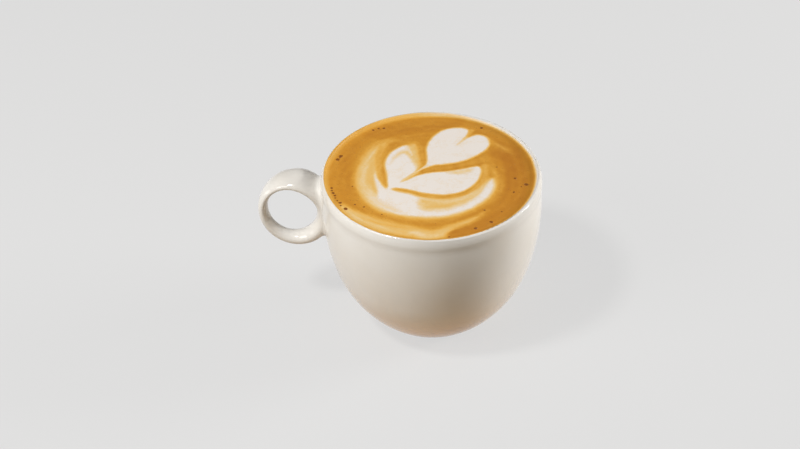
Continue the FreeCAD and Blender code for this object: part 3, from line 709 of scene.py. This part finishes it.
draw = np.random.default_rng(bubbles["seed"])
half, within = bubbles["fineWithin"]
tries = draw.uniform(-half, half, (bubbles["fineTries"], 2))
far = np.hypot(tries[:, 0], tries[:, 1])
chance = bubbles["fineInMiddle"] + (1 - bubbles["fineInMiddle"]) * outOver(far, bubbles["fineCrowd"])
keep = (far < within) & (draw.uniform(0, 1, len(tries)) < chance)
tries = tries[keep]
tries = tries[paintMilk(tries) < bubbles["fineMilk"]][: bubbles["fine"]]
fineSize = draw.uniform(bubbles["fineSmall"], bubbles["fineLarge"], len(tries))
centres = np.vstack([np.array(bigBubbles)[:, :2], tries])
sizes = np.concatenate([bubbles["bigFactor"] * np.array(bigBubbles)[:, 2], fineSize])
depths = np.concatenate([np.full(len(bigBubbles), 1.0), draw.uniform(0, bubbles["fineDepth"], len(tries))])
far = np.hypot(centres[:, 0], centres[:, 1])
climb = np.clip((far - drink["flat"]) / bubbles["climbRun"], 0, 1) ** 2
lift = drink["level"] - sizes * bubbles["flat"] * bubbles["sunk"] + (fillHigh[2] - drink["level"]) * climb

carrierMesh = bpy.data.meshes.new("bubbleSpots")
carrierMesh.from_pydata((np.column_stack([centres, lift]) * mm).tolist(), [], [])
giveValues(carrierMesh, size=sizes * mm, depth=depths)
carrier = newObject("bubbleSpots", carrierMesh)
group = bpy.data.node_groups.new("burst bubbles", "GeometryNodeTree")
group.interface.new_socket("Geometry", in_out="OUTPUT", socket_type="NodeSocketGeometry")
group.interface.new_socket("Geometry", in_out="INPUT", socket_type="NodeSocketGeometry")
inputs = {}
for title, kind, key in (
    ("Sides", "NodeSocketInt", "sides"),
    ("Stacks", "NodeSocketInt", "stacks"),
    ("Flatness", "NodeSocketFloat", "flat"),
    ("Seed", "NodeSocketInt", "seed"),
):
    inputs[group.interface.new_socket(title, in_out="INPUT", socket_type=kind).identifier] = bubbles[key]
source = addNode(group, "NodeGroupInput").outputs
ball = addNode(group, "GeometryNodeMeshUVSphere", None, {
    "Segments": source["Sides"], "Rings": source["Stacks"], "Radius": 1.0,
}).outputs[0]
squash = addNode(group, "ShaderNodeCombineXYZ", None, {
    "X": 1.0, "Y": bubbles["oval"], "Z": source["Flatness"],
}).outputs[0]
dish = addNode(group, "GeometryNodeTransform", None, {"Geometry": ball, "Scale": squash}).outputs[0]
spin = addNode(group, "FunctionNodeRandomValue", {"data_type": "FLOAT"}, {
    2: 0.0, 3: anyTurn, "Seed": source["Seed"],
}).outputs[1]
spin = addNode(group, "ShaderNodeCombineXYZ", None, {"Z": spin}).outputs[0]
spin = addNode(group, "FunctionNodeEulerToRotation", None, {0: spin}).outputs[0]
size = addNode(group, "GeometryNodeInputNamedAttribute", {"data_type": "FLOAT"}, {"Name": "size"}).outputs[0]
placed = addNode(group, "GeometryNodeInstanceOnPoints", None, {
    "Points": source["Geometry"], "Instance": dish, "Rotation": spin, "Scale": size,
}).outputs[0]
real = addNode(group, "GeometryNodeRealizeInstances", None, {"Geometry": placed}).outputs[0]
coated = addNode(group, "GeometryNodeSetMaterial", None, {"Geometry": real, "Material": wetBrown}).outputs[0]
addNode(group, "NodeGroupOutput", None, {0: coated})
modifier = carrier.modifiers.new("burst bubbles", "NODES")
modifier.node_group = group
for identifier, value in inputs.items():
    modifier[identifier] = value
made = bpy.data.meshes.new_from_object(carrier.evaluated_get(bpy.context.evaluated_depsgraph_get()))
carrier.modifiers.clear()
bpy.data.objects.remove(carrier)
newPiece("bubbles", made, wetBrown)
print("bubbles done:", len(sizes), "bubbles,", len(made.polygons), "faces")


# Matt painted board: plain pale grey without texture. What it throws back up is warm near the foot, as from wood.
table = {
    "seen": "dedede",
    "glow": 0.842,
    "takesShadow": 0.13,  # share that the windows light, so that the cup's shadow shows
    "near": "bc8606",  # what it throws back up
    "far": "aca18e",
    "warmth": (0.034, 0.105),  # metres from the middle, over which near turns to far
    "half": 3.0,
}
board, tree = newMaterial("painted board, matt")
path = addNode(tree, "ShaderNodeLightPath").outputs
direct = path["Is Camera Ray"]
for other in ("Is Glossy Ray", "Is Transmission Ray"):
    direct = addNode(tree, "ShaderNodeMath", {"operation": "MAXIMUM"}, {0: direct, 1: path[other]}).outputs[0]
place = addNode(tree, "ShaderNodeTexCoord").outputs["Object"]
away = addNode(tree, "ShaderNodeVectorMath", {"operation": "LENGTH"}, {0: place}).outputs["Value"]
away = addNode(tree, "ShaderNodeMapRange", None, {
    "Value": away, "From Min": table["warmth"][0], "From Max": table["warmth"][1],
}).outputs[0]
stops = [(0.0, table["near"]), (1.0, table["far"])]
thrown = addNode(tree, "ShaderNodeValToRGB", {"stops": stops}, {"Fac": away}).outputs[0]
bounce = addNode(tree, "ShaderNodeBsdfDiffuse", None, {"Color": thrown}).outputs[0]
glow = addNode(tree, "ShaderNodeEmission", None, {
    "Color": linear(table["seen"]), "Strength": table["glow"],
}).outputs[0]
dim = addNode(tree, "ShaderNodeBsdfDiffuse", None, {"Color": [table["takesShadow"]] * 3 + [1]}).outputs[0]
shown = addNode(tree, "ShaderNodeAddShader", None, {0: glow, 1: dim}).outputs[0]
surface = addNode(tree, "ShaderNodeMixShader", None, {0: direct, 1: bounce, 2: shown}).outputs[0]
addNode(tree, "ShaderNodeOutputMaterial", None, {"Surface": surface})
mesh = bpy.data.meshes.new("floor")
half = table["half"]
mesh.from_pydata([(-half, -half, 0), (half, -half, 0), (half, half, 0), (-half, half, 0)], [], [(0, 1, 2, 3)])
mesh.materials.append(board)
newObject("floor", mesh)

room = {"light": "ffd29c", "strength": 0.046}
world = bpy.data.worlds.new("room")
bpy.context.scene.world = world
world.use_nodes = True
world.node_tree.nodes.clear()
light = addNode(world.node_tree, "ShaderNodeBackground", None, {
    "Color": linear(room["light"]), "Strength": room["strength"],
}).outputs[0]
addNode(world.node_tree, "ShaderNodeOutputWorld", None, {"Surface": light})

# a small high window at the left front with haze round it, a wide one at the right, and a faint low light at the left
windowsAim = (0, 0, 0.05)  # metres
windowsAway = 0.9
windows = [  # name, colour, size in metres (one number for a round one), watts, and the way to it from the cup
    ("key window", "fffefc", (0.14,), 5.1, (-0.44, -0.34, 0.9)),
    ("key window, hazy part", "fffefc", (0.5,), 3.2, (-0.63, -0.43, 0.42)),
    ("side window", "fffefc", (0.36, 0.2), 8.4, (0.94, 0.28, 0.22)),
    ("low fill at the left", "fffefa", (0.5, 0.2), 0.9, (-0.97, 0.0, 0.03)),
]
for name, colour, size, energy, toward in windows:
    lamp = bpy.data.lights.new(name, "AREA")
    lamp.shape = "DISK" if len(size) == 1 else "RECTANGLE"
    lamp.size = size[0]
    if len(size) == 2:
        lamp.size_y = size[1]
    lamp.energy = energy
    lamp.color = linear(colour)[:3]
    holder = newObject(name, lamp)
    toward = Vector(toward).normalized()
    holder.location = Vector(windowsAim) + toward * windowsAway
    holder.rotation_euler = toward.to_track_quat("Z", "Y").to_euler()
print("floor, room and windows done")

view = {  # degrees and metres; the lens in mm
    "turn": 3.9,
    "rise": 36.39,
    "distance": 0.840,
    "aim": (-0.01222, -0.00106, 0.04105),
    "roll": -1.446,
    "lens": 100,
    "sensor": 36,
    "clip": 0.05,
}
rimCentre = Vector((0, 0, loadedBounds[1][2]))
turn, rise = math.radians(view["turn"]), math.radians(view["rise"])
away = Vector((math.sin(turn) * math.cos(rise), -math.cos(turn) * math.cos(rise), math.sin(rise)))
spot = rimCentre + view["distance"] * away
lens = bpy.data.cameras.new("camera")
lens.lens = view["lens"]
lens.sensor_width = view["sensor"]
lens.clip_start = view["clip"]
camera = newObject("camera", lens)
facing = (Vector(view["aim"]) - spot).to_track_quat("-Z", "Y").to_matrix().to_4x4()
camera.matrix_world = Matrix.Translation(spot) @ facing @ Matrix.Rotation(math.radians(view["roll"]), 4, "Z")
bpy.context.scene.camera = camera
bpy.context.scene.view_settings.view_transform = "Standard"
print("camera done")
